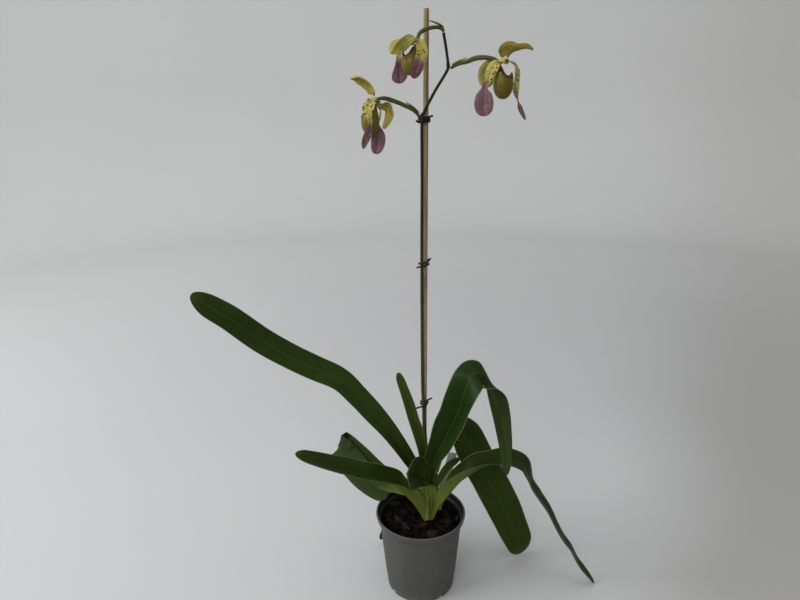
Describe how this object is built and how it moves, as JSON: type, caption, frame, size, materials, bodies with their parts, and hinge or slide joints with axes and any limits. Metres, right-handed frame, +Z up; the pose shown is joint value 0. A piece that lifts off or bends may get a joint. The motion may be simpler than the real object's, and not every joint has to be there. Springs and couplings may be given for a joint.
{
  "type": "potted orchid",
  "caption": "Slipper orchid in a nursery pot of bark: strap leaves in a fan, and a tall stem tied to a stake, with pouched blooms on side branches.",
  "frame": {"origin": "centre of the pot's flat underside", "axes": "+Z up along the stake, +X to the right as the blooms are seen, +Y away from the viewer"},
  "size_m": [0.5014, 0.1614, 0.7312],
  "materials": {
    "pot": "satin moulded plastic",
    "bark": "damp bark chips",
    "stake": "plain split cane",
    "label": "translucent sheet",
    "crown": "waxy pale leaf bases",
    "leaf": "waxy leaf",
    "stem": "fine-haired stem",
    "tie": "coated wire",
    "ovary": "fine-haired",
    "bract": "thin leaf",
    "column": "waxy",
    "sepal": "soft petal",
    "petal": "soft petal",
    "pouch": "waxy"
  },
  "bodies": {
    "root": {"pot": "pot", "bark_mix": "bark", "stake": "stake", "label": "label", "crown": "crown", "leaf_long_left": "leaf", "leaf_upright": "leaf", "leaf_arching": "leaf", "leaf_broad_right": "leaf", "leaf_folded_right": "leaf", "leaf_front_left": "leaf", "leaf_folded_left": "leaf", "leaf_front": "leaf", "leaf_back_left": "leaf", "leaf_young": "leaf", "flower_stem": "stem", "tie_low": "tie", "tie_middle": "tie", "tie_high": "tie", "bloom_left_ovary": "ovary", "bloom_left_bract": "bract", "bloom_left_column": "column", "bloom_left_dorsal_sepal": "sepal", "bloom_left_lower_sepal": "sepal", "bloom_left_near_petal": "petal", "bloom_left_far_petal": "petal", "bloom_left_pouch": "pouch", "bloom_middle_ovary": "ovary", "bloom_middle_bract": "bract", "bloom_middle_column": "column", "bloom_middle_dorsal_sepal": "sepal", "bloom_middle_lower_sepal": "sepal", "bloom_middle_near_petal": "petal", "bloom_middle_far_petal": "petal", "bloom_middle_pouch": "pouch", "bloom_right_ovary": "ovary", "bloom_right_bract": "bract", "bloom_right_column": "column", "bloom_right_dorsal_sepal": "sepal", "bloom_right_lower_sepal": "sepal", "bloom_right_near_petal": "petal", "bloom_right_far_petal": "petal", "bloom_right_pouch": "pouch"}
  },
  "joints": []
}
